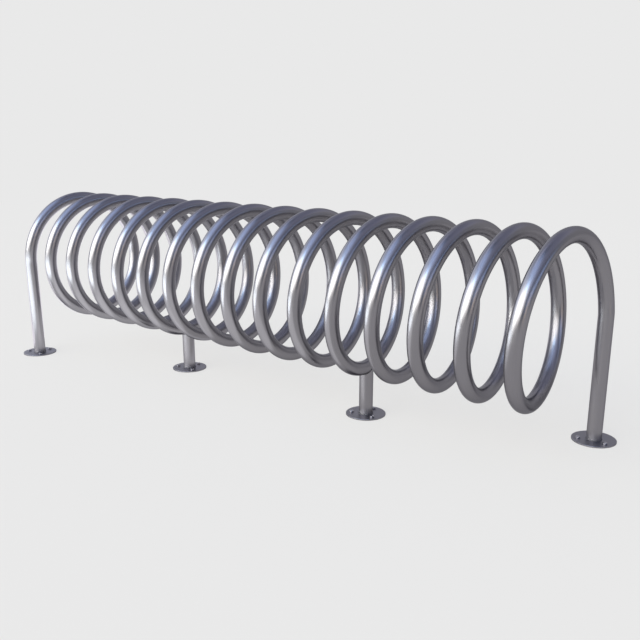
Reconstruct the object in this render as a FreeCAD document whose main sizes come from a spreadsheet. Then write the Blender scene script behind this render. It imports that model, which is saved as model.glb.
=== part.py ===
"""Spiral bicycle rack: a round steel tube rolled into a lying coil that stands on two legs and two posts.

Millimetres, Z up. The coil's axis runs along X, and the origin is on the ground under the coil's middle.
The driving sizes are in the sheet. Each piece is an object of the document, and its Label names its file.
"""
import FreeCAD, Part
import math
import os

import Sketcher
from FreeCAD import Placement, Rotation, Vector

# Driving sizes: name, value, what it measures
DRIVING_SIZES = (
    ("tube_diameter", 60.3, "outside of the tube of coil, legs and posts"),
    ("tube_wall", 2.6, "wall of that tube"),
    ("coil_radius", 315.0, "coil axis to the centreline of the tube"),
    ("coil_pitch", 187.0, "advance of one turn along X"),
    ("coil_turns", 15, "whole turns, before the half turn that ends at the far leg"),
    ("ground_clearance", 187.5, "ground to the underside of the coil"),
    ("leg_bend_radius", 300.0, "bend at the top of a leg, on the centreline"),
    ("post_turn", 5, "the turn, counted from each end, that a post carries"),
    ("cope_gap", 0.3, "root gap between a post's saddle and the coil"),
    ("ring_length", 24.0, "backing ring inside each butt joint"),
    ("ring_wall", 3.0, "wall of that ring"),
    ("ring_clearance", 0.35, "ring to the bore of the tube, on the radius"),
    ("flange_thickness", 6.0, "base flange"),
    ("flange_chamfer", 1.0, "on the flange's upper rim"),
    ("bolt_wall_distance", 31.85, "outside of the tube to the centre of a bolt hole"),
    ("bolt_edge_distance", 25.0, "centre of a bolt hole to the flange's rim"),
    ("bolt_count", 3, "holes in a flange"),
    ("stud_diameter", 10.0, "anchor stud that a flange is held by"),
    ("bolt_hole_play", 2.0, "bolt hole over the stud, on the diameter"),
    ("washer_play", 0.5, "washer hole over the stud, on the diameter"),
    ("washer_rim", 4.75, "washer hole to washer rim"),
    ("washer_thickness", 2.0, "washer"),
    ("nut_width", 17.0, "cap nut across flats"),
    ("nut_hex_height", 4.5, "hexagon of the cap nut"),
    ("nut_cap_height", 1.5, "dome over the hexagon"),
    ("nut_cap_inset", 0.5, "dome inside the flats"),
    ("nut_chamfer", 0.8, "on the corners of the hexagon"),
    ("nut_bore_depth", 4.2, "blind threaded hole, drawn at the stud's diameter"),
)

ARCS_PER_TURN = 8
HALF_TURN = math.pi
WHOLE_TURN = 2 * math.pi
QUARTER_TURN = math.pi / 2

doc = FreeCAD.newDocument("spiral_bicycle_rack")
sheet = doc.addObject("Spreadsheet::Sheet", "sizes")
for row, (name, value, meaning) in enumerate(DRIVING_SIZES, start=1):
    sheet.set(f"A{row}", meaning)
    sheet.set(f"B{row}", str(value))
    sheet.setAlias(f"B{row}", name)
doc.recompute()

# Expressions that several pieces share
TUBE_OUTSIDE = "sizes.tube_diameter / 2"
TUBE_BORE = "sizes.tube_diameter / 2 - sizes.tube_wall"
BOLT_RADIUS = "sizes.tube_diameter / 2 + sizes.bolt_wall_distance"

# Sizes that follow from the driving ones
tube_radius = sheet.tube_diameter / 2
coil_radius = sheet.coil_radius
coil_pitch = sheet.coil_pitch
coil_turns = int(sheet.coil_turns)
coil_length = (coil_turns + 0.5) * coil_pitch
axis_height = sheet.ground_clearance + tube_radius + coil_radius
lead = coil_pitch / WHOLE_TURN
lead_angle = math.atan2(lead, coil_radius)
bolt_radius = tube_radius + sheet.bolt_wall_distance
washer_top = sheet.flange_thickness + sheet.washer_thickness

pieces = []


# Coil

def coil_point(angle):
    """Centreline of the coil: it starts at the front, rises first and advances along X."""
    return Vector(lead * angle - coil_length / 2,
                  -coil_radius * math.cos(angle),
                  axis_height + coil_radius * math.sin(angle))


def coil_direction(angle):
    return Vector(lead, coil_radius * math.sin(angle), coil_radius * math.cos(angle)).normalize()


def square_to(point, direction):
    """Placement at a point, with its Z axis along a direction."""
    return Placement(point, Rotation(Vector(0, 0, 1), direction))


def arc_middle(start, direction, end):
    """Middle of the arc that leaves start along direction and ends at end."""
    chord = end - start
    outward = direction - chord * (direction.dot(chord) / chord.dot(chord))
    rise = chord.Length / 2 * math.tan(direction.getAngle(chord) / 2)
    return start + chord * 0.5 + outward.normalize() * rise


def biarc(first_angle, last_angle):
    """Two arcs that follow the coil from one angle to another and meet without a kink."""
    start = coil_point(first_angle)
    end = coil_point(last_angle)
    leaving = coil_direction(first_angle)
    arriving = coil_direction(last_angle)
    chord = end - start
    spread = 1 - leaving.dot(arriving)
    along = chord.dot(leaving + arriving)
    reach = (math.sqrt(along ** 2 + 2 * spread * chord.dot(chord)) - along) / (2 * spread)
    meeting = (start + end + (leaving - arriving) * reach) * 0.5
    return [Part.Arc(start, arc_middle(start, leaving, meeting), meeting).toShape(),
            Part.Arc(meeting, arc_middle(end, arriving * -1, meeting), end).toShape()]


def path(label, edges):
    """Centreline of a tube, kept in the document as one wire."""
    line = doc.addObject("Part::Feature", label)
    line.Shape = Part.Wire(edges)
    return line


def swept_round(label, radius, spine, edges, start):
    """A round bar of a radius, given as an expression, along some edges of a path."""
    section = doc.addObject("Part::Circle", f"{label}_section")
    section.setExpression("Radius", radius)
    section.Placement = start
    sweep = doc.addObject("Part::Sweep", label)
    sweep.Sections = [section]
    sweep.Spine = (spine, edges)
    sweep.Solid = True
    return sweep


def difference(label, base, tool):
    cut = doc.addObject("Part::Cut", label)
    cut.Base = base
    cut.Tool = tool
    return cut


def tube(label, spine, edges, start):
    """A tube along a path: the round bar of its outside less the one of its bore."""
    outside = swept_round(f"{label}_outside", TUBE_OUTSIDE, spine, edges, start)
    bore = swept_round(f"{label}_bore", TUBE_BORE, spine, edges, start)
    return difference(label, outside, bore)


coil_edges = []
for quarter in range(4 * coil_turns + 2):
    coil_edges += biarc(quarter * QUARTER_TURN, (quarter + 1) * QUARTER_TURN)
coil_path = path("coil_path", coil_edges)


def coil_arcs(first, count):
    """Names of some arcs of the coil's path, counted from nought."""
    return [f"Edge{number}" for number in range(first + 1, first + count + 1)]


for turn in range(coil_turns):
    turn_angle = turn * WHOLE_TURN
    turn_start = square_to(coil_point(turn_angle), coil_direction(turn_angle))
    turn_arcs = coil_arcs(turn * ARCS_PER_TURN, ARCS_PER_TURN)
    pieces.append(tube(f"coil_turn_{turn + 1:02d}", coil_path, turn_arcs, turn_start))

last_angle = coil_turns * WHOLE_TURN
half_arcs = coil_arcs(coil_turns * ARCS_PER_TURN, ARCS_PER_TURN // 2)
half_start = square_to(coil_point(last_angle), coil_direction(last_angle))
pieces.append(tube("coil_half_turn", coil_path, half_arcs, half_start))


# Legs: each stands upright and bends at its top into the slope of the coil's end

leg_step = sheet.leg_bend_radius * (1 - math.cos(lead_angle))
leg_rise = sheet.leg_bend_radius * math.sin(lead_angle)
half_bend = lead_angle / 2


def leg(label, end_angle, side):
    """Leg under one end of the coil; side is -1 for the end at -X and 1 for the end at +X."""
    top = coil_point(end_angle)
    foot = Vector(top.x + side * leg_step, top.y, sheet.flange_thickness)
    bend_start = Vector(foot.x, foot.y, top.z - leg_rise)
    bend_middle = bend_start + Vector(-side * sheet.leg_bend_radius * (1 - math.cos(half_bend)), 0,
                                      sheet.leg_bend_radius * math.sin(half_bend))
    edges = [Part.makeLine(foot, bend_start), Part.Arc(bend_start, bend_middle, top).toShape()]
    spine = path(f"{label}_path", edges)
    pieces.append(tube(label, spine, ["Edge1", "Edge2"], Placement(foot, Rotation())))
    return foot


coil_end_angle = last_angle + HALF_TURN
feet = {
    "left_leg": leg("left_leg", 0, -1),
    "right_leg": leg("right_leg", coil_end_angle, 1),
}


# Posts: each stands under the lowest point of a turn, with a saddle cut to the coil

COPE_ARCS = ARCS_PER_TURN // 2


def upright_round(label, radius, foot, top):
    bar = doc.addObject("Part::Cylinder", label)
    bar.setExpression("Radius", radius)
    bar.Height = top - foot.z
    bar.Placement = Placement(foot, Rotation())
    return bar


def post(label, turn):
    """Post under the lowest point of a turn, counted from nought at -X."""
    half_angle = turn * WHOLE_TURN + HALF_TURN
    bottom = coil_point(half_angle + QUARTER_TURN)
    foot = Vector(bottom.x, bottom.y, sheet.flange_thickness)
    outside = upright_round(f"{label}_outside", TUBE_OUTSIDE, foot, bottom.z)
    bore = upright_round(f"{label}_bore", TUBE_BORE, foot, bottom.z)
    blank = difference(f"{label}_blank", outside, bore)
    cope_arcs = coil_arcs(turn * ARCS_PER_TURN + COPE_ARCS, COPE_ARCS)
    cope_start = square_to(coil_point(half_angle), coil_direction(half_angle))
    cope = swept_round(f"{label}_cope", TUBE_OUTSIDE + " + sizes.cope_gap", coil_path, cope_arcs, cope_start)
    pieces.append(difference(label, blank, cope))
    return foot


post_turn = int(sheet.post_turn)
feet["left_post"] = post("left_post", post_turn - 1)
feet["right_post"] = post("right_post", coil_turns - post_turn)


# Backing rings: one inside every butt joint, at the front of each turn and at the far end

RING_OUTSIDE = TUBE_BORE + " - sizes.ring_clearance"
joint_angles = [turn * WHOLE_TURN for turn in range(coil_turns + 1)] + [coil_end_angle]
for number, joint_angle in enumerate(joint_angles, start=1):
    ring_label = f"joint_ring_{number:02d}"
    direction = coil_direction(joint_angle)
    ring_start = square_to(coil_point(joint_angle) - direction * (sheet.ring_length / 2), direction)
    rounds = []
    for part_name, radius in (("outside", RING_OUTSIDE), ("bore", RING_OUTSIDE + " - sizes.ring_wall")):
        bar = doc.addObject("Part::Cylinder", f"{ring_label}_{part_name}")
        bar.setExpression("Radius", radius)
        bar.setExpression("Height", "sizes.ring_length")
        bar.Placement = ring_start
        rounds.append(bar)
    pieces.append(difference(ring_label, *rounds))


# Base flanges

def origin_plane(body, role):
    return next(item for item in body.Origin.OriginFeatures if item.Role == role)


def new_sketch(body, name, role):
    sketch = body.newObject("Sketcher::SketchObject", name)
    sketch.AttachmentSupport = [(origin_plane(body, role), "")]
    sketch.MapMode = "FlatFace"
    return sketch


def bind(sketch, name, expression, *constraint):
    """Add a dimension to a sketch, name it and tie it to the sheet."""
    index = sketch.addConstraint(Sketcher.Constraint(*constraint))
    sketch.renameConstraint(index, name)
    sketch.setExpression(f"Constraints.{name}", expression)


def centred_circle(sketch, name, radius, start_radius):
    circle = sketch.addGeometry(Part.Circle(Vector(), Vector(0, 0, 1), start_radius), False)
    sketch.addConstraint(Sketcher.Constraint("Coincident", circle, 3, -1, 1))
    bind(sketch, name, radius, "Radius", circle, start_radius)


def flange(label, foot):
    """Round plate with a ring of bolt holes and a chamfered upper rim."""
    body = doc.addObject("PartDesign::Body", label)
    outline = new_sketch(body, f"{label}_outline", "XY_Plane")
    centred_circle(outline, "rim", BOLT_RADIUS + " + sizes.bolt_edge_distance",
                   bolt_radius + sheet.bolt_edge_distance)
    plate = body.newObject("PartDesign::Pad", f"{label}_plate")
    plate.Profile = outline
    plate.setExpression("Length", "sizes.flange_thickness")
    hole_outline = new_sketch(body, f"{label}_hole_outline", "XY_Plane")
    hole_radius = (sheet.stud_diameter + sheet.bolt_hole_play) / 2
    hole = hole_outline.addGeometry(Part.Circle(Vector(0, bolt_radius, 0), Vector(0, 0, 1), hole_radius), False)
    hole_outline.addConstraint(Sketcher.Constraint("PointOnObject", hole, 3, -2))
    bind(hole_outline, "bolt_radius", BOLT_RADIUS, "DistanceY", -1, 1, hole, 3, bolt_radius)
    bind(hole_outline, "hole", "(sizes.stud_diameter + sizes.bolt_hole_play) / 2", "Radius", hole, hole_radius)
    pocket = body.newObject("PartDesign::Pocket", f"{label}_hole")
    pocket.Profile = hole_outline
    pocket.Reversed = True
    pocket.setExpression("Length", "sizes.flange_thickness")
    holes = body.newObject("PartDesign::PolarPattern", f"{label}_holes")
    holes.Originals = [pocket]
    holes.Axis = (hole_outline, ["N_Axis"])
    holes.Angle = 360
    holes.setExpression("Occurrences", "sizes.bolt_count")
    body.Tip = holes
    doc.recompute()
    rim_chamfer = body.newObject("PartDesign::Chamfer", f"{label}_chamfer")
    rim_chamfer.Base = (holes, [upper_rim(holes.Shape)])
    rim_chamfer.setExpression("Size", "sizes.flange_chamfer")
    body.Tip = rim_chamfer
    body.Placement = Placement(Vector(foot.x, foot.y, 0), Rotation())
    pieces.append(body)


def upper_rim(shape):
    """Name of the longest edge that lies in the upper face."""
    top = shape.BoundBox.ZMax
    upper = [number for number, edge in enumerate(shape.Edges, start=1) if edge.BoundBox.ZMin > top - 1e-6]
    return f"Edge{max(upper, key=lambda number: shape.Edges[number - 1].Length)}"


for foot_name, foot in feet.items():
    flange(f"{foot_name}_flange", foot)


# Fasteners on the anchor studs: a washer and a cap nut over each bolt hole

washer = doc.addObject("PartDesign::Body", "washer")
washer_outline = new_sketch(washer, "washer_outline", "XY_Plane")
washer_hole_radius = (sheet.stud_diameter + sheet.washer_play) / 2
WASHER_HOLE = "(sizes.stud_diameter + sizes.washer_play) / 2"
centred_circle(washer_outline, "hole", WASHER_HOLE, washer_hole_radius)
centred_circle(washer_outline, "rim", WASHER_HOLE + " + sizes.washer_rim", washer_hole_radius + sheet.washer_rim)
washer_pad = washer.newObject("PartDesign::Pad", "washer_pad")
washer_pad.Profile = washer_outline
washer_pad.setExpression("Length", "sizes.washer_thickness")


def nut_profile():
    """Half section of the turned nut: blind bore, chamfered corners and domed cap."""
    corner = sheet.nut_width / 2 / math.cos(math.radians(30))
    cap_radius = sheet.nut_width / 2 - sheet.nut_cap_inset
    height = sheet.nut_hex_height + sheet.nut_cap_height
    bore = sheet.stud_diameter / 2
    chamfer = sheet.nut_chamfer
    ball = (cap_radius ** 2 + sheet.nut_cap_height ** 2) / (2 * sheet.nut_cap_height)
    half_cap = math.asin(cap_radius / ball) / 2
    cap_middle = Vector(ball * math.sin(half_cap), 0, height - ball * (1 - math.cos(half_cap)))
    corners = [(0, height), (0, sheet.nut_bore_depth), (bore, sheet.nut_bore_depth), (bore, 0),
               (corner - chamfer, 0), (corner, chamfer), (corner, sheet.nut_hex_height - chamfer),
               (corner - chamfer, sheet.nut_hex_height), (cap_radius, sheet.nut_hex_height)]
    points = [Vector(across, 0, up) for across, up in corners]
    edges = [Part.makeLine(start, end) for start, end in zip(points, points[1:])]
    edges.append(Part.Arc(points[-1], cap_middle, points[0]).toShape())
    return Part.Face(Part.Wire(edges))


nut_section = doc.addObject("Part::Feature", "nut_section")
nut_section.Shape = nut_profile()
nut_blank = doc.addObject("Part::Revolution", "nut_blank")
nut_blank.Source = nut_section
nut_blank.Axis = Vector(0, 0, 1)
nut_blank.Angle = 360
nut_flats = doc.addObject("Part::Prism", "nut_flats")
nut_flats.Polygon = 6
nut_flats.setExpression("Circumradius", "sizes.nut_width / 2 / cos(30)")
nut_flats.setExpression("Height", "sizes.nut_hex_height + sizes.nut_cap_height")
cap_nut = doc.addObject("Part::Common", "cap_nut")
cap_nut.Base = nut_blank
cap_nut.Tool = nut_flats


def fastener_group(label, fastener, height):
    """One node that holds the same fastener over every bolt hole of every flange."""
    copies = []
    for foot in feet.values():
        for hole in range(int(sheet.bolt_count)):
            angle = QUARTER_TURN + hole * WHOLE_TURN / int(sheet.bolt_count)
            copy = doc.addObject("App::Link", f"{label}_{len(copies) + 1}")
            copy.LinkedObject = fastener
            copy.Placement = Placement(Vector(foot.x + bolt_radius * math.cos(angle),
                                              foot.y + bolt_radius * math.sin(angle), height), Rotation())
            copies.append(copy)
    group = doc.addObject("Part::Compound", label)
    group.Links = copies
    pieces.append(group)


fastener_group("flange_washers", washer, sheet.flange_thickness)
fastener_group("flange_cap_nuts", cap_nut, washer_top)


# Check every object, then write each piece

doc.recompute()
for item in doc.Objects:
    if "Invalid" in item.State or "Error" in item.State:
        raise RuntimeError(f"{item.Label} failed: {item.State}")
for piece in pieces:
    if piece.Shape.isNull() or not piece.Shape.isValid():
        raise RuntimeError(f"{piece.Label} has no valid shape")

os.makedirs("parts", exist_ok=True)
for piece in pieces:
    piece.Shape.exportStep(os.path.join("parts", f"{piece.Label}.step"))
    print(f"{piece.Label}: {len(piece.Shape.Solids)} solids, {piece.Shape.Volume / 1000:.1f} cm3")
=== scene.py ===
"""Spiral bicycle rack, dressed for the picture.

Metres, Z up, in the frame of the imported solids: the coil's axis runs along X, and the origin is on the
ground under the coil's middle. Every new piece is a surface worked out as whole arrays.
"""

import math

import bpy
import numpy as np
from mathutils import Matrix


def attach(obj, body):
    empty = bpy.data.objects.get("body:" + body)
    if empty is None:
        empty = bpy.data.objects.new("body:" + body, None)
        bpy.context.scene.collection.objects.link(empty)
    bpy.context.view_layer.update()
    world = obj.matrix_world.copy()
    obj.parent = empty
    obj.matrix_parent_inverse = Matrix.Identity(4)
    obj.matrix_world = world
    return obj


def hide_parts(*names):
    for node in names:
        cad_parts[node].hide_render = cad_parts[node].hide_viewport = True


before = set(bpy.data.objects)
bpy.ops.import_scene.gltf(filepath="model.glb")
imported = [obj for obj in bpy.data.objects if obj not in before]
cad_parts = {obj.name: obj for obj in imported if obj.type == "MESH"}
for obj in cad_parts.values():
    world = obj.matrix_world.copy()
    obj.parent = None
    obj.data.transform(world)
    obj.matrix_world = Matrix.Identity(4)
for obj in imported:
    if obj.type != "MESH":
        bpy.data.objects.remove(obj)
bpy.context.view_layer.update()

# Sizes of the rack
TUBE_RADIUS = 0.03015
BORE_RADIUS = 0.02755
COIL_RADIUS = 0.315
COIL_PITCH = 0.187
COIL_TURNS = 15
AXIS_HEIGHT = 0.53265
LEG_BEND_RADIUS = 0.300
POST_REACH = 0.561
COPE_GAP = 0.0003
FLANGE_TOP = 0.006
BOLT_CIRCLE_RADIUS = 0.062
BOLT_ANGLES = np.radians([90.0, 210.0, 330.0])
WASHER_BORE, WASHER_RADIUS, WASHER_THICKNESS, WASHER_EDGE = 0.00525, 0.010, 0.002, 0.0002
NUT_FLAT, NUT_HEX_HEIGHT, NUT_CAP_HEIGHT = 0.0085, 0.0045, 0.0015
NUT_CAP_RADIUS, NUT_CHAMFER, NUT_BORE, NUT_BORE_DEPTH = 0.008, 0.0008, 0.005, 0.0042

# How far the middle of a weld bead stands off its corner
FOOT_BEAD_OFF, SADDLE_BEAD_OFF = 0.0004, 0.0002
BEAD_THICKNESS, BEAD_PUDDLES = 0.0020, 46

# Lengths and places that follow from the sizes
TURN = 2 * math.pi
COIL_LENGTH = COIL_PITCH * (COIL_TURNS + 0.5)
ADVANCE = COIL_PITCH / TURN
SLOPE = math.atan2(ADVANCE, COIL_RADIUS)
ARC_RATE = math.hypot(COIL_RADIUS, ADVANCE)
LEG_STRAIGHT = AXIS_HEIGHT - LEG_BEND_RADIUS * math.sin(SLOPE) - FLANGE_TOP
LEG_LENGTH = LEG_STRAIGHT + LEG_BEND_RADIUS * SLOPE
LEG_X = COIL_LENGTH / 2 + LEG_BEND_RADIUS * (1 - math.cos(SLOPE))
FEET = np.array([(-LEG_X, -COIL_RADIUS), (-POST_REACH, 0.0), (POST_REACH, 0.0), (LEG_X, COIL_RADIUS)])

# Fineness of the meshes
TUBE_COLUMNS = 56
TURN_ROWS, TURN_BORE_ROWS = 169, 43
LEG_ROWS, LEG_BORE_ROWS = 65, 17
POST_COLUMNS, POST_ROWS, POST_BORE_ROWS = 112, 41, 9
BEAD_COLUMNS, BEAD_ROWS = 8 * BEAD_PUDDLES, 14
WASHER_COLUMNS = 64
NUT_COLUMNS, NUT_DOME_ROWS, NUT_CHAMFER_ROWS = 72, 10, 5


# Surfaces on a grid

def grid_mesh(name, points, close_rows=True, poles=(False, False), corner_normals=None, corner_uv=None,
              sharp_degrees=35.0):
    """A mesh of four-sided faces over points[copy, row, column]. Columns close on themselves.

    Rows close too, or each open end may meet in one point at the middle of its row. Corners of a face run
    (row, column), (row, column + 1), (row + 1, column + 1), (row + 1, column).
    """
    copies, rows, columns = points.shape[:3]
    first = np.arange(copies * rows * columns).reshape(copies, rows, columns)
    lower = first if close_rows else first[:, :-1]
    upper = np.roll(first, -1, 1) if close_rows else first[:, 1:]
    quads = np.stack([lower, np.roll(lower, -1, 2), np.roll(upper, -1, 2), upper], -1).reshape(-1, 4)
    vertices = [points.reshape(-1, 3)]
    faces = quads.tolist()
    count = copies * rows * columns
    for row, wanted in zip((0, -1), poles):
        if wanted:
            middle = count + np.arange(copies)[:, None]
            ring = first[:, row]
            fan = np.stack([np.broadcast_to(middle, ring.shape), np.roll(ring, -1, 1), ring], -1)
            fan = fan if row == 0 else fan[..., ::-1]
            faces += fan.reshape(-1, 3).tolist()
            vertices.append(points[:, row].mean(1))
            count += copies
    mesh = bpy.data.meshes.new(name)
    mesh.from_pydata(np.concatenate(vertices).tolist(), [], faces)
    mesh.polygons.foreach_set("use_smooth", np.ones(len(faces), bool))
    if corner_uv is not None:
        layer = mesh.uv_layers.new(name="along_tube")
        layer.data.foreach_set("uv", corner_uv.reshape(-1).astype(np.float32))
    mesh.update()
    if corner_normals is not None:
        mesh.normals_split_custom_set(corner_normals.reshape(-1, 3).tolist())
    else:
        mesh.set_sharp_from_angle(angle=math.radians(sharp_degrees))
    return mesh


def place(mesh, slot, finish, *nodes):
    """One finished piece of the rack, at the origin, in place of its solids."""
    piece = bpy.data.objects.new(mesh.name, mesh)
    bpy.context.scene.collection.objects.link(piece)
    mesh.materials.append(finish)
    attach(piece, "root")
    if nodes:
        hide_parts(*nodes)


def around(count):
    """Angles of the columns of a closed ring."""
    return np.linspace(0.0, TURN, count, endpoint=False)


def turned(radius, height, angle):
    """Points round the upright axis: the radius times the cosine and the sine of the angle, at the height."""
    x, y = radius * np.cos(angle), radius * np.sin(angle)
    return np.stack([x, y, np.broadcast_to(height, x.shape)], -1)


# Tubes along a path

def coil_path(angle):
    """Helix: the angle turns about X at the coil's radius while X advances evenly. Returns the place on the
    centreline, the unit tangent, the unit direction away from the coil's axis, and the length travelled."""
    sine, cosine, none = np.sin(angle), np.cos(angle), np.zeros_like(angle)
    place_on = np.stack([ADVANCE * angle - COIL_LENGTH / 2, -COIL_RADIUS * cosine,
                         AXIS_HEIGHT + COIL_RADIUS * sine], -1)
    tangent = np.stack([none + ADVANCE, COIL_RADIUS * sine, COIL_RADIUS * cosine], -1) / ARC_RATE
    return place_on, tangent, np.stack([none, -cosine, sine], -1), ARC_RATE * angle


def leg_path(length, side):
    """Straight up from the flange, then a bend in the upright plane along X until the tube has the coil's
    slope. Side is -1 for the left leg, and 1 turns the same path half round the middle of the rack. Returns
    what coil_path does."""
    bent = np.clip((length - LEG_STRAIGHT) / LEG_BEND_RADIUS, 0.0, SLOPE)
    across = -LEG_X + LEG_BEND_RADIUS * (1 - np.cos(bent))
    height = FLANGE_TOP + np.minimum(length, LEG_STRAIGHT) + LEG_BEND_RADIUS * np.sin(bent)
    none = np.zeros_like(length)
    flip = np.array([-side, -side, 1.0])
    place_on = np.stack([across, none - COIL_RADIUS, height], -1) * flip
    tangent = np.stack([np.sin(bent), none, np.cos(bent)], -1) * flip
    outward = np.stack([none, none - 1.0, none], -1) * flip
    return place_on, tangent, outward, length


def out_and_back(rows, bore_rows):
    """How far along its tube each row is, from 0 to 1 on the outside and back to 0 in the bore, and the radius
    of each row."""
    share = np.concatenate([np.linspace(0, 1, rows), np.linspace(1, 0, bore_rows)])
    radius = np.concatenate([np.full(rows, TUBE_RADIUS), np.full(bore_rows, BORE_RADIUS)])
    return share, radius


def tube_uv(travelled, columns):
    """Length along the tube and length round its outside, at the four corners of each face."""
    turn = np.linspace(0, TURN * TUBE_RADIUS, columns + 1)
    u, v = np.broadcast_arrays(travelled[:, None], turn[:-1])
    next_u, next_v = np.broadcast_arrays(np.roll(travelled, -1)[:, None], turn[1:])
    corners = (u, v), (u, next_v), (next_u, next_v), (next_u, v)
    return np.stack([np.stack(corner, -1) for corner in corners], 2)


def mark_joints(mesh, distance):
    """Keeps at each vertex how far along the tube the nearest welded joint is. Each row has one distance."""
    spread = np.repeat(distance, len(mesh.vertices) // len(distance)).astype(np.float32)
    mesh.attributes.new("joint_distance", "FLOAT", "POINT").data.foreach_set("value", spread)


def tube_mesh(name, path, start, end, rows, bore_rows, joined_at_start=True):
    """A hollow tube as one closed surface: rows run out along the outside, over the end and back through the
    bore. A point is the centreline plus the radius times (cosine of the column's angle along the outward
    direction plus its sine along tangent x outward). Outside and bore are shaded by that direction itself, so
    that the reflection runs on across a joint. A joint is at the end, and at the start too where it says so."""
    share, radius = out_and_back(rows, bore_rows)
    centre, tangent, outward, travelled = path(start + (end - start) * share)
    angle = around(TUBE_COLUMNS)[:, None]
    side = np.cross(tangent, outward)
    direction = np.cos(angle) * outward[:, None] + np.sin(angle) * side[:, None]
    points = centre[:, None] + radius[:, None, None] * direction

    nearer = direction * np.where(radius == TUBE_RADIUS, 1.0, -1.0)[:, None, None]
    further = np.roll(nearer, -1, 0)
    normals = np.stack([nearer, np.roll(nearer, -1, 1), np.roll(further, -1, 1), further], 2)
    normals[rows - 1] = tangent[rows - 1]
    normals[-1] = -tangent[0]

    mesh = grid_mesh(name, points[None], corner_normals=normals, corner_uv=tube_uv(travelled, TUBE_COLUMNS))
    to_start, to_end = travelled - travelled[0], travelled[rows - 1] - travelled
    mark_joints(mesh, np.minimum(to_start, to_end) if joined_at_start else to_end)
    return mesh


# Posts

# Angles of the coil to each side of a post over which its saddle is looked for
SADDLE_ROLL = np.linspace(-0.15, 0.15, 601)
# About the height of a post, for the pattern along it
POST_PATTERN_LENGTH = 0.18
# A post has no joint in it, so its distance to one is past all that the finish looks at
FAR_FROM_JOINT = 1.0


def saddle_height(x, y, post_x):
    """Underside of the coil over a point of the plan: the lowest of the spheres, a root gap larger than the
    tube, that roll along the centreline near the post."""
    lowest_at = (post_x + COIL_LENGTH / 2) / ADVANCE
    centre = coil_path(lowest_at + SADDLE_ROLL)[0]
    across = (x[..., None] - centre[:, 0]) ** 2
    along = (y[..., None] - centre[:, 1]) ** 2
    reach = (TUBE_RADIUS + COPE_GAP) ** 2 - across - along
    under = centre[:, 2] - np.sqrt(np.maximum(reach, 0.0))
    return np.where(reach > 0, under, np.inf).min(-1)


def post_mesh(name, post_x):
    """An upright tube from the flange to the saddle. A point's height runs evenly from the foot to the saddle
    over its own place in the plan, up the outside and down the bore."""
    share, radius = out_and_back(POST_ROWS, POST_BORE_ROWS)
    angle = around(POST_COLUMNS)
    x = post_x + radius[:, None] * np.cos(angle)
    y = radius[:, None] * np.sin(angle)
    outside, bore = (saddle_height(x[row], y[row], post_x) for row in (0, -1))
    top = np.where(radius[:, None] == TUBE_RADIUS, outside, bore)
    z = FLANGE_TOP + share[:, None] * (top - FLANGE_TOP)
    uv = tube_uv(share * POST_PATTERN_LENGTH, POST_COLUMNS)
    mesh = grid_mesh(name, np.stack([x, y, z], -1)[None], corner_uv=uv)
    mark_joints(mesh, np.full(len(share), FAR_FROM_JOINT))
    return mesh


# Weld beads

# Share of the tube's radius at which a saddle's bead takes its height, just inside the cope
BEAD_LINE_SHARE = 0.9995


def bead_ring(seam_height, off):
    """A bead round an upright tube: a small circle, as thick as the bead is there, carried round the tube at
    the seam's height. The thickness swells and thins once for each puddle, with a crease between two puddles:
    most of it is fixed, and the rest follows the size of the cosine of the angle times half the puddles."""
    angle, section = around(BEAD_COLUMNS), around(BEAD_ROWS)[:, None]
    size = BEAD_THICKNESS * (0.90 + 0.12 * np.abs(np.cos(angle * BEAD_PUDDLES / 2)))
    out = TUBE_RADIUS + off + size * np.cos(section)
    return turned(out, seam_height + size * np.sin(section), angle)[::-1]


def foot_beads_mesh(name):
    """Rings round the feet, in the corner between tube and flange."""
    feet = np.concatenate([FEET, np.zeros((len(FEET), 1))], 1)
    ring = bead_ring(FLANGE_TOP + FOOT_BEAD_OFF, FOOT_BEAD_OFF)
    return grid_mesh(name, feet[:, None, None] + ring[None], sharp_degrees=60.0)


def saddle_beads_mesh(name):
    """Rings under the coil, along the line where a post's outside meets the saddle."""
    line = turned(TUBE_RADIUS * BEAD_LINE_SHARE, 0.0, around(BEAD_COLUMNS))
    rings = []
    for post_x in (-POST_REACH, POST_REACH):
        height = saddle_height(post_x + line[:, 0], line[:, 1], post_x)
        rings.append(bead_ring(height, SADDLE_BEAD_OFF) + (post_x, 0.0, 0.0))
    return grid_mesh(name, np.stack(rings), sharp_degrees=60.0)


# Fasteners

# The dome and the bore each end in a small ring round their pole: its angle and its share of the bore
DOME_POLE_ANGLE, BORE_POLE_SHARE = 0.03, 0.3


def bolt_places():
    """Centres of the twelve bolt holes on the flanges' top."""
    spread = BOLT_CIRCLE_RADIUS * np.stack([np.cos(BOLT_ANGLES), np.sin(BOLT_ANGLES)], -1)
    plan = (FEET[:, None] + spread[None]).reshape(-1, 2)
    return np.concatenate([plan, np.full((len(plan), 1), FLANGE_TOP)], 1)


def washers_mesh(name):
    """Flat rings: a section with small broken corners turned about each bolt's axis."""
    inner, outer, top, edge = WASHER_BORE, WASHER_RADIUS, WASHER_THICKNESS, WASHER_EDGE
    section = np.array([(inner, 0), (outer - edge, 0), (outer, edge), (outer, top - edge),
                        (outer - edge, top), (inner + edge, top), (inner, top - edge)])
    ring = turned(section[:, :1], section[:, 1:], around(WASHER_COLUMNS))
    return grid_mesh(name, bolt_places()[:, None, None] + ring[None], sharp_degrees=30.0)


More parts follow.
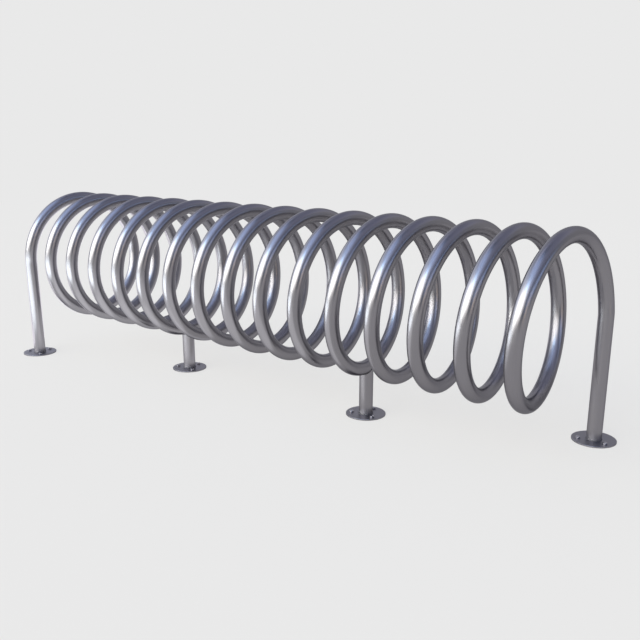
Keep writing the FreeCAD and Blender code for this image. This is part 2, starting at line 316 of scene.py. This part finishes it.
def cap_nuts_mesh(name):
    """Cap nuts: a turned section, with the blind bore, the chamfered corners and the dome, cut by the hexagon.
    At each angle the radius is the smaller of the section's own and the flat's distance over the cosine of the
    angle from the middle of that flat."""
    corner = NUT_FLAT / math.cos(math.radians(30))
    ball = (NUT_CAP_RADIUS ** 2 + NUT_CAP_HEIGHT ** 2) / (2 * NUT_CAP_HEIGHT)
    sweep = np.linspace(math.asin(NUT_CAP_RADIUS / ball), DOME_POLE_ANGLE, NUT_DOME_ROWS)
    dome = np.stack([ball * np.sin(sweep),
                     NUT_HEX_HEIGHT + NUT_CAP_HEIGHT - ball * (1 - np.cos(sweep))], -1)
    slant = np.linspace(1, 0, NUT_CHAMFER_ROWS)[:, None]
    low = np.concatenate([corner - NUT_CHAMFER * slant, NUT_CHAMFER * (1 - slant)], 1)
    high = np.concatenate([low[::-1, :1], NUT_HEX_HEIGHT - low[::-1, 1:]], 1)
    bore = np.array([(NUT_BORE * BORE_POLE_SHARE, NUT_BORE_DEPTH), (NUT_BORE, NUT_BORE_DEPTH), (NUT_BORE, 0.0)])
    section = np.concatenate([bore, low, high, dome])
    angle = around(NUT_COLUMNS)
    flat = NUT_FLAT / np.cos(np.mod(angle, math.pi / 3) - math.pi / 6)
    nut = turned(np.minimum(section[:, :1], flat), section[:, 1:], angle)
    seats = bolt_places() + (0.0, 0.0, WASHER_THICKNESS)
    return grid_mesh(name, seats[:, None, None] + nut[None], close_rows=False, poles=(True, True),
                     sharp_degrees=28.0)


# Shader maths

class Value:
    """One output of a shader node, with Python's arithmetic on it."""

    def __init__(self, shader, socket):
        self.shader, self.socket = shader, socket

    def maths(self, operation, other=0.0, swapped=False):
        first, second = (other, self) if swapped else (self, other)
        return self.shader.node("ShaderNodeMath", {"operation": operation}, {0: first, 1: second})

    def __add__(self, other): return self.maths("ADD", other)
    def __radd__(self, other): return self.maths("ADD", other, swapped=True)
    def __sub__(self, other): return self.maths("SUBTRACT", other)
    def __rsub__(self, other): return self.maths("SUBTRACT", other, swapped=True)
    def __mul__(self, other): return self.maths("MULTIPLY", other)
    def __rmul__(self, other): return self.maths("MULTIPLY", other, swapped=True)
    def __truediv__(self, other): return self.maths("DIVIDE", other)
    def __rtruediv__(self, other): return self.maths("DIVIDE", other, swapped=True)
    def __pow__(self, other): return self.maths("POWER", other)
    def __rpow__(self, other): return self.maths("POWER", other, swapped=True)
    def __abs__(self): return self.maths("ABSOLUTE")


class Shader:
    """A node tree that is written as expressions."""

    def __init__(self, owner):
        owner.use_nodes = True
        self.tree = owner.node_tree
        self.tree.nodes.clear()

    def node(self, kind, settings=None, sockets=None, output=0):
        """A node of that kind: its settings first, then the values or links of its sockets. Returns one of its
        outputs, if it has any."""
        made = self.tree.nodes.new(kind)
        for name, value in (settings or {}).items():
            setattr(made, name, value)
        for name, value in (sockets or {}).items():
            if isinstance(value, Value):
                self.tree.links.new(value.socket, made.inputs[name])
            else:
                made.inputs[name].default_value = value
        return Value(self, made.outputs[output]) if made.outputs else None

    def object_place(self):
        """Place in the rack's frame."""
        return self.node("ShaderNodeTexCoord", output="Object")

    def noise(self, place_on, scale, detail, stretch=None):
        """Cloudy values about a half, over a place that may be stretched first."""
        if stretch:
            place_on = self.node("ShaderNodeMapping", {}, {"Vector": place_on, "Scale": stretch})
        return self.node("ShaderNodeTexNoise", {},
                         {"Vector": place_on, "Scale": scale, "Detail": detail}, "Fac")

    def step(self, value, low, high):
        """Runs smoothly from 0 to 1 while the value goes from low to high."""
        return self.node("ShaderNodeMapRange", {"interpolation_type": "SMOOTHSTEP"},
                         {"Value": value, "From Min": low, "From Max": high})

    def mix(self, share, first, second):
        """Colour between two colours."""
        return self.node("ShaderNodeMix", {"data_type": "RGBA"}, {0: share, 6: first, 7: second}, 2)

    def vector(self, operation, sockets, output=0):
        """Vector maths."""
        return self.node("ShaderNodeVectorMath", {"operation": operation}, sockets, output)

    def glow(self, strength):
        """White light of that strength, given off by the surface."""
        return self.node("ShaderNodeEmission", {}, {"Color": colour(1.0, 1.0, 1.0), "Strength": strength})

    def surface(self, shader, kind="ShaderNodeOutputMaterial"):
        """Leads a shader to the tree's output node of that kind."""
        self.node(kind, {}, {"Surface": shader})


def colour(red, green, blue):
    """A colour with its full alpha."""
    return (red, green, blue, 1.0)


# Finishes

# Share of the reflection that the steel keeps at a grazing angle
GRAZING_TINT = colour(0.45, 0.45, 0.47)
# Distances from a joint between which its dressing fades out
DRESSED_REACH = 0.003, 0.009
# Heights between which the brushing above a foot fades out
BRUSHED_REACH = 0.014, 0.036


def metal(name, build):
    """A metal whose colour, roughness, height pattern and that pattern's depth are what build(shader) gives."""
    material = bpy.data.materials.new(name)
    shader = Shader(material)
    base, roughness, height, depth = build(shader)
    normal = shader.node("ShaderNodeBump", {}, {"Strength": 1.0, "Distance": depth, "Height": height})
    shader.surface(shader.node("ShaderNodeBsdfPrincipled", {}, {
        "Base Color": base, "Roughness": roughness, "Metallic": 1.0, "Normal": normal,
        "Specular Tint": GRAZING_TINT}))
    return material


def satin_tube(shader):
    """Rolled and satin-polished tube: long fine polishing lines, faint cloudy patches, a dressed weld at each
    joint, and a duller band above the feet, where the tube is brushed after welding."""
    along = shader.node("ShaderNodeUVMap", {"uv_map": "along_tube"})
    lines = shader.noise(along, 1.0, 3.0, stretch=(9.0, 700.0, 1.0))
    streaks = shader.noise(along, 1.0, 2.0, stretch=(2.5, 90.0, 1.0))
    place_on = shader.object_place()
    patches = shader.noise(place_on, 7.0, 3.0)
    grain = shader.noise(place_on, 900.0, 2.0)
    distance = shader.node("ShaderNodeAttribute", {"attribute_name": "joint_distance"}, output="Fac")
    dressed = 1.0 - shader.step(distance, *DRESSED_REACH)
    height = shader.node("ShaderNodeSeparateXYZ", {}, {0: place_on}, "Z")
    brushed = 1.0 - shader.step(height, *BRUSHED_REACH)
    tone = lines * 0.45 + streaks * 0.25 + patches * 0.30
    plain = shader.mix(tone, colour(0.216, 0.208, 0.226), colour(0.283, 0.272, 0.294))
    base = shader.mix(dressed * 0.12, plain, colour(0.275, 0.266, 0.278))
    roughness = 0.225 + lines * 0.06 + streaks * 0.02 + patches * 0.05 + dressed * 0.01 + brushed * 0.24
    return base, roughness, lines * 0.7 + grain * 0.3, 0.000001


def ground_plate(shader):
    """Cut plate with a straight ground grain, a few wider scuffs and a little dulling in patches."""
    place_on = shader.object_place()
    grain = shader.noise(place_on, 1.0, 3.0, stretch=(25.0, 1100.0, 1100.0))
    scuffs = shader.noise(place_on, 1.0, 2.0, stretch=(60.0, 14.0, 14.0))
    patches = shader.noise(place_on, 16.0, 3.0)
    tone = grain * 0.35 + scuffs * 0.25 + patches * 0.4
    base = shader.mix(tone, colour(0.228, 0.219, 0.238), colour(0.272, 0.261, 0.283))
    roughness = 0.36 + grain * 0.05 + patches * 0.06
    return base, roughness, grain, 0.000002


def bright_fastener(shader):
    """Turned and pressed stainless: fine rings of the tool, small handling marks."""
    place_on = shader.object_place()
    rings = shader.noise(place_on, 1.0, 2.0, stretch=(350.0, 350.0, 4200.0))
    marks = shader.noise(place_on, 420.0, 3.0)
    tone = rings * 0.4 + marks * 0.6
    base = shader.mix(tone, colour(0.333, 0.322, 0.344), colour(0.444, 0.433, 0.455))
    return base, 0.20 + marks * 0.10 + rings * 0.04, rings, 0.000006


def weld_metal(shader):
    """Brushed weld: darker and duller than the tube, cloudy from the heat, with the brush's fine grain."""
    place_on = shader.object_place()
    cloud = shader.noise(place_on, 160.0, 3.0)
    grain = shader.noise(place_on, 1500.0, 2.0)
    base = shader.mix(cloud, colour(0.128, 0.122, 0.127), colour(0.178, 0.170, 0.175))
    return base, 0.48 + cloud * 0.10 + grain * 0.05, grain, 0.00003


def mill_ring(shader):
    """Backing ring as it comes from the saw and the lathe."""
    place_on = shader.object_place()
    cloud = shader.noise(place_on, 60.0, 3.0)
    tool = shader.noise(place_on, 1800.0, 1.0)
    base = shader.mix(cloud, colour(0.189, 0.183, 0.183), colour(0.266, 0.261, 0.261))
    return base, 0.34 + cloud * 0.14, tool, 0.00003


tube_finish = metal("satin_tube", satin_tube)
flange_finish = metal("ground_plate", ground_plate)
fastener_finish = metal("bright_fastener", bright_fastener)
weld_finish = metal("weld_metal", weld_metal)
ring_finish = metal("mill_ring", mill_ring)

# The rack
for turn in range(COIL_TURNS):
    name = f"coil_turn_{turn + 1:02d}"
    mesh = tube_mesh(f"{name}.tube", coil_path, TURN * turn, TURN * (turn + 1), TURN_ROWS, TURN_BORE_ROWS)
    place(mesh, "tube_steel", tube_finish, name)

mesh = tube_mesh("coil_half_turn.tube", coil_path, TURN * COIL_TURNS, TURN * (COIL_TURNS + 0.5),
                 TURN_ROWS // 2 + 1, TURN_BORE_ROWS // 2 + 1)
place(mesh, "tube_steel", tube_finish, "coil_half_turn")

for name, side in (("left_leg", -1), ("right_leg", 1)):
    mesh = tube_mesh(f"{name}.tube", lambda length: leg_path(length, side), 0.0, LEG_LENGTH,
                     LEG_ROWS, LEG_BORE_ROWS, joined_at_start=False)
    place(mesh, "tube_steel", tube_finish, name)

for name, post_x in (("left_post", -POST_REACH), ("right_post", POST_REACH)):
    place(post_mesh(f"{name}.tube", post_x), "tube_steel", tube_finish, name)

place(foot_beads_mesh("foot_welds"), "tube_steel", weld_finish)
place(saddle_beads_mesh("saddle_welds"), "tube_steel", weld_finish)
place(washers_mesh("flange_washers.turned"), "fastener_steel", fastener_finish, "flange_washers")
place(cap_nuts_mesh("flange_cap_nuts.turned"), "fastener_steel", fastener_finish, "flange_cap_nuts")

for name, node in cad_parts.items():
    if name.endswith("_flange") or name.startswith("joint_ring"):
        node.data.materials.clear()
        node.data.materials.append(flange_finish if name.endswith("_flange") else ring_finish)

# Floor and backdrop
BACKDROP = 0.815
FLOOR_GLOW = 0.66
FLOOR_TONE = colour(0.128, 0.117, 0.100)
FLOOR_REACH = 60.0
FLOOR_FADE = 5.0, 12.0


def floor_finish():
    """Pale floor: a glow of its own, seen by the camera and by what mirrors it, plus a tone that is lit, so
    that it keeps the shadow. Between the distances of the fade it runs into the backdrop."""
    material = bpy.data.materials.new("pale_floor")
    shader = Shader(material)
    camera_ray, glossy_ray, through_ray = (
        shader.node("ShaderNodeLightPath", output=ray)
        for ray in ("Is Camera Ray", "Is Glossy Ray", "Is Transmission Ray"))
    seen = camera_ray.maths("MAXIMUM", glossy_ray).maths("MAXIMUM", through_ray)
    far = shader.step(shader.vector("LENGTH", {0: shader.object_place()}, "Value"), *FLOOR_FADE)
    lit = shader.node("ShaderNodeBsdfDiffuse", {}, {"Color": FLOOR_TONE})
    near = shader.node("ShaderNodeAddShader", {}, {0: shader.glow(seen * FLOOR_GLOW), 1: lit})
    away = shader.glow(seen * BACKDROP)
    shader.surface(shader.node("ShaderNodeMixShader", {}, {0: far, 1: near, 2: away}))
    return material


ground = bpy.data.meshes.new("floor")
ground.from_pydata([(-FLOOR_REACH, -FLOOR_REACH, 0), (FLOOR_REACH, -FLOOR_REACH, 0),
                    (FLOOR_REACH, FLOOR_REACH, 0), (-FLOOR_REACH, FLOOR_REACH, 0)], [], [(0, 1, 2, 3)])
ground.materials.append(floor_finish())
floor = bpy.data.objects.new("floor", ground)
bpy.context.scene.collection.objects.link(floor)

# Light from the world
SOFT_LIGHTS = (
    # Bearing from +Y to +X, height, reach to each side, reach up and down, in degrees; flatness; colour
    (-162.0, 23.2, 41.3, 16.9, 4.0, (6.49, 6.42, 5.88)),  # broad softbox in front
    (-144.9, 6.2, 17.7, 5.0, 3.4, (5.87, 6.07, 5.47)),  # low strip to the left of it
    (-170.6, 43.6, 19.9, 5.0, 4.0, (3.03, 5.11, 7.25)),  # cool strip over it
    (-164.1, 79.5, 73.3, 46.2, 3.2, (0.89, 1.17, 1.80)),  # cool ceiling
    (-97.1, 17.6, 48.0, 23.7, 2.0, (1.57, 1.70, 1.90)),  # fill from the left
    (-86.6, 63.6, 44.6, 8.1, 2.0, (1.11, 1.14, 1.42)),  # strip high on the left
    (62.8, 55.9, 120.0, 25.7, 5.2, (0.39, 0.41, 0.55)),  # dim fill from the back and the right
    (107.6, -4.3, 8.4, 17.1, 2.9, (2.86, 2.33, 1.60)),  # warm strip on the right
    (95.4, 16.2, 34.2, 7.4, 3.4, (1.04, 1.37, 2.12)),  # cool strip on the right
    (-20.0, 0.0, 75.0, 40.0, 4.0, (BACKDROP, BACKDROP, BACKDROP)),  # the backdrop, as the steel shows it
)


def studio_world():
    """Soft lights in a dark room. Each is a bell: e to the power of minus the bearing away from its middle,
    over its reach, and minus the height away from it, over that reach, each raised to its flatness. The camera
    sees the plain backdrop alone."""
    world = bpy.data.worlds.new("studio")
    bpy.context.scene.world = world
    shader = Shader(world)
    toward = shader.node("ShaderNodeTexCoord", output="Generated")

    def along(*direction):
        return shader.vector("DOT_PRODUCT", {0: toward, 1: direction}, "Value")

    height = along(0.0, 0.0, 1.0).maths("ARCSINE")
    tone = (0.0, 0.0, 0.0)
    for bearing, middle, wide, tall, flatness, light in SOFT_LIGHTS:
        sine, cosine = math.sin(math.radians(bearing)), math.cos(math.radians(bearing))
        beside = along(cosine, -sine, 0.0).maths("ARCTAN2", along(sine, cosine, 0.0))
        above = height - math.radians(middle)
        fall = (abs(beside) / math.radians(wide)) ** flatness + (abs(above) / math.radians(tall)) ** flatness
        bell = (fall * -1.0).maths("EXPONENT")
        tone = shader.vector("ADD", {0: tone, 1: shader.vector("SCALE", {0: light, "Scale": bell})})
    seen = shader.node("ShaderNodeLightPath", output="Is Camera Ray")
    tone = shader.mix(seen, tone, colour(BACKDROP, BACKDROP, BACKDROP))
    background = shader.node("ShaderNodeBackground", {}, {"Color": tone, "Strength": 1.0})
    shader.surface(background, "ShaderNodeOutputWorld")


studio_world()

# Lit cards on the floor
FLOOR_CARDS = {
    # Middle, width and depth, brightness of the upper face
    "front_card": ((-4.8, -3.2, 0.0030), (8.6, 4.4), (3.731, 4.135, 4.145)),
    "back_card": ((-4.3, 2.7, 0.0035), (5.4, 7.0), (2.511, 2.451, 2.539)),
    "left_card": ((-2.8, 1.6, 0.0040), (5.0, 4.4), (0.354, 0.363, 0.363)),
    "near_card": ((-0.3, -1.2, 0.0045), (1.8, 2.0), (0.580, 0.592, 0.581)),
}


def aim(thing, yaw, pitch):
    """Turns a lamp or camera to look along a bearing, in degrees to the left of +Y, and up by the pitch."""
    thing.rotation_euler = (math.radians(90 + pitch), 0.0, math.radians(yaw))


def floor_card(name, centre, size, radiance):
    """A soft rectangular lamp whose face is that bright, so that its power follows from its area. The camera
    doesn't see it, and the steel does."""
    width, depth = size
    lamp = bpy.data.lights.new(name, "AREA")
    lamp.shape, lamp.size, lamp.size_y = "RECTANGLE", width, depth
    lamp.energy = math.pi * width * depth * max(radiance)
    lamp.color = [part / max(radiance) for part in radiance]
    holder = bpy.data.objects.new(name, lamp)
    bpy.context.scene.collection.objects.link(holder)
    holder.location = centre
    aim(holder, 0.0, 90.0)
    holder.visible_camera = False


for name, card in FLOOR_CARDS.items():
    floor_card(name, *card)

# Camera
EYE_PLACE = (2.3053, -2.5898, 1.1671)
EYE_YAW, EYE_PITCH = 37.934, -14.973
EYE_SENSOR, EYE_LENS = 36.0, 42.38
EYE_SHIFT_X, EYE_SHIFT_Y = 0.00552, 0.03165

eye = bpy.data.cameras.new("eye")
eye.sensor_width, eye.lens = EYE_SENSOR, EYE_LENS
eye.shift_x, eye.shift_y = EYE_SHIFT_X, EYE_SHIFT_Y
camera = bpy.data.objects.new("eye", eye)
bpy.context.scene.collection.objects.link(camera)
camera.location = EYE_PLACE
aim(camera, EYE_YAW, EYE_PITCH)
bpy.context.scene.camera = camera
bpy.context.scene.view_settings.view_transform = "Standard"
